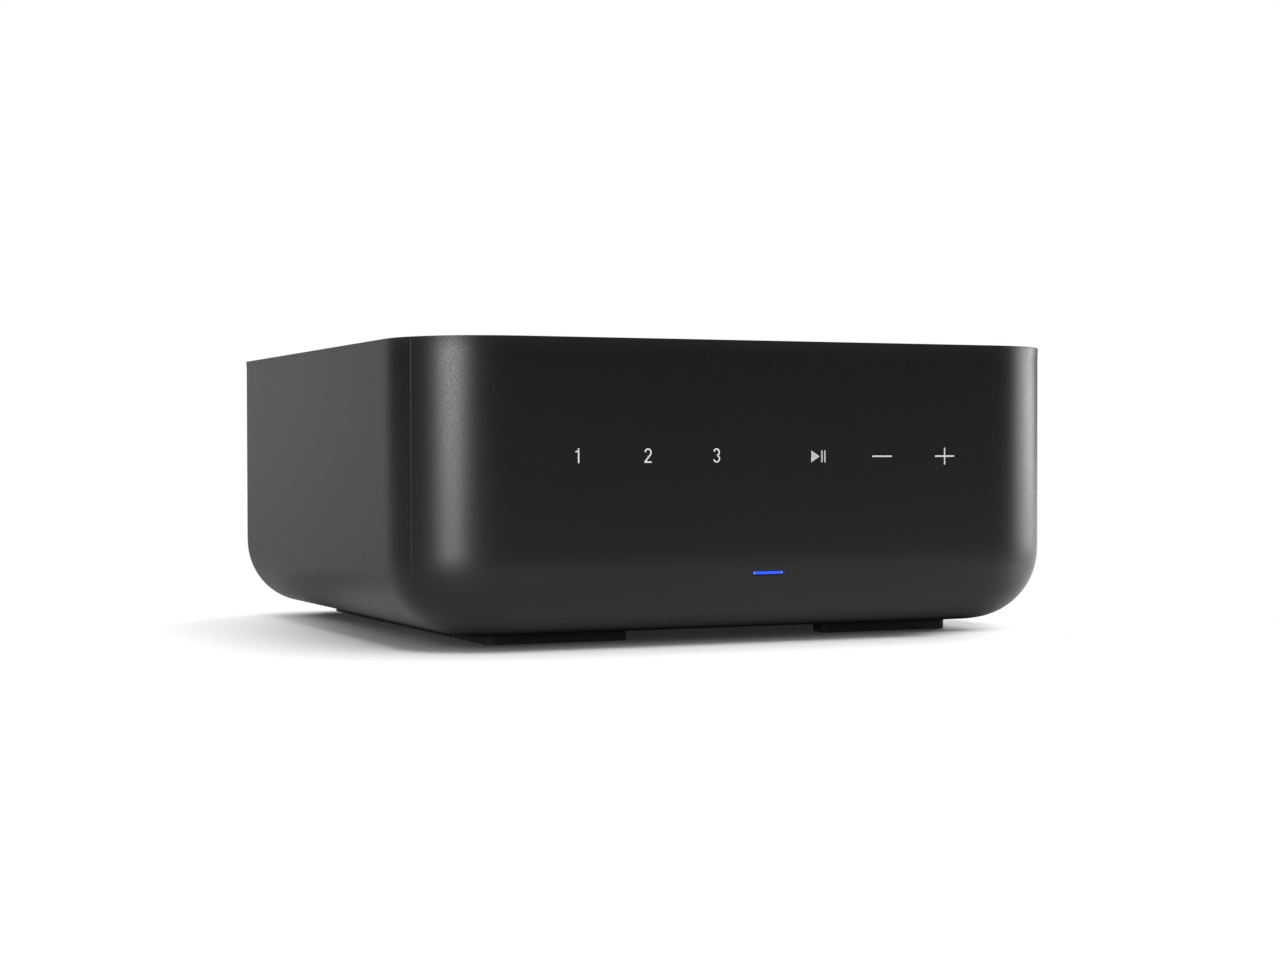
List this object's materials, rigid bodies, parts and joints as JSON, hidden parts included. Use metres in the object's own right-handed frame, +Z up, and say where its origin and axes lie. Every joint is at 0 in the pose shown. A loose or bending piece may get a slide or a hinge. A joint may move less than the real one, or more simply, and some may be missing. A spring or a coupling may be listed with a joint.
{
  "type": "network music streamer",
  "caption": "Compact black network audio streamer with rounded front corners, flush touch keys, a status light, rear audio and data sockets and two rubber feet.",
  "frame": {"origin": "middle of the whole part's footprint, on the surface that the feet stand on", "axes": "+X to the right of the front as seen by the user, +Y from the front to the back, +Z up"},
  "size_m": [0.15, 0.1448, 0.0622],
  "materials": {
    "cabinet_black": "satin black, finely textured",
    "cover_black": "satin black, finely textured",
    "panel_black": "fine matt black paint",
    "foot_rubber": "matt black",
    "bright_screw": "bright zinc",
    "black_screw": "black zinc",
    "board_green": "green solder mask",
    "board_blue": "blue solder mask",
    "chip_black": "matt moulded",
    "ferrite_grey": "ground ferrite",
    "can_steel": "tinned sheet",
    "capacitor_sleeve": "dark sleeve",
    "sink_aluminium": "satin anodised",
    "aerial_film": "copper film",
    "lead_black": "black jacket",
    "contact_gold": "gold plated",
    "pad_foam": "conductive foam",
    "light_blue": "clear bar lit blue",
    "lamp_white": "moulded lamp",
    "ribbon_white": "plastic film",
    "socket_black": "moulded",
    "socket_metal": "tinned sheet",
    "tongue_white": "moulded",
    "emitter_red": "red window",
    "shutter_grey": "moulded",
    "sleeve_nickel": "nickel plated",
    "insert_white": "moulded",
    "insert_red": "moulded",
    "insert_orange": "moulded",
    "button_grey": "moulded"
  },
  "bodies": {
    "root": {"cabinet_shell": "cabinet_black", "top_cover": "cover_black", "rear_panel": "panel_black", "left_foot": "foot_rubber", "right_foot": "foot_rubber", "cover_screws": "bright_screw", "rear_panel_screws": "black_screw", "main_board": "board_green", "board_screws": "bright_screw", "board_chips": "chip_black", "clock_crystals": "can_steel", "capacitors": "capacitor_sleeve", "inductors": "ferrite_grey", "network_module": "board_blue", "module_headers": "chip_black", "module_shield": "can_steel", "heat_sink": "sink_aluminium", "left_antenna": "aerial_film", "right_antenna": "aerial_film", "left_antenna_lead": "lead_black", "right_antenna_lead": "lead_black", "antenna_plugs": "contact_gold", "touch_board": "board_green", "touch_board_screws": "bright_screw", "touch_pads": "pad_foam", "light_pipe": "light_blue", "status_led": "lamp_white", "ribbon_cable": "ribbon_white", "ribbon_sockets": "ribbon_white", "power_inlet": "socket_black", "power_inlet_pin": "socket_metal", "ethernet_socket": "socket_metal", "ethernet_contacts": "contact_gold", "usb_socket": "socket_metal", "usb_tongue": "tongue_white", "optical_socket": "socket_black", "optical_emitter": "emitter_red", "shutter_pin": "bright_screw", "shutter_spring": "bright_screw", "phono_block": "socket_black", "phono_sleeves": "sleeve_nickel", "left_channel_inserts": "insert_white", "right_channel_inserts": "insert_red", "digital_insert": "insert_orange", "phono_screw": "black_screw", "setup_switch": "socket_black"},
    "optical_shutter": {"optical_shutter": "shutter_grey"},
    "setup_button": {"setup_button": "button_grey", "setup_plunger": "chip_black"}
  },
  "joints": [
    {"name": "shutter_hinge", "type": "hinge", "parent": "root", "child": "optical_shutter", "pos_m": [-0.0048, 0.0624, 0.02125], "axis": [-1, 0, 0], "range_deg": [0, 85], "stiffness_Nm_per_rad": 0.0004},
    {"name": "setup_push", "type": "slide", "parent": "root", "child": "setup_button", "axis": [0, -1, 0], "range_m": [0, 0.0006], "stiffness_N_per_m": 600}
  ]
}
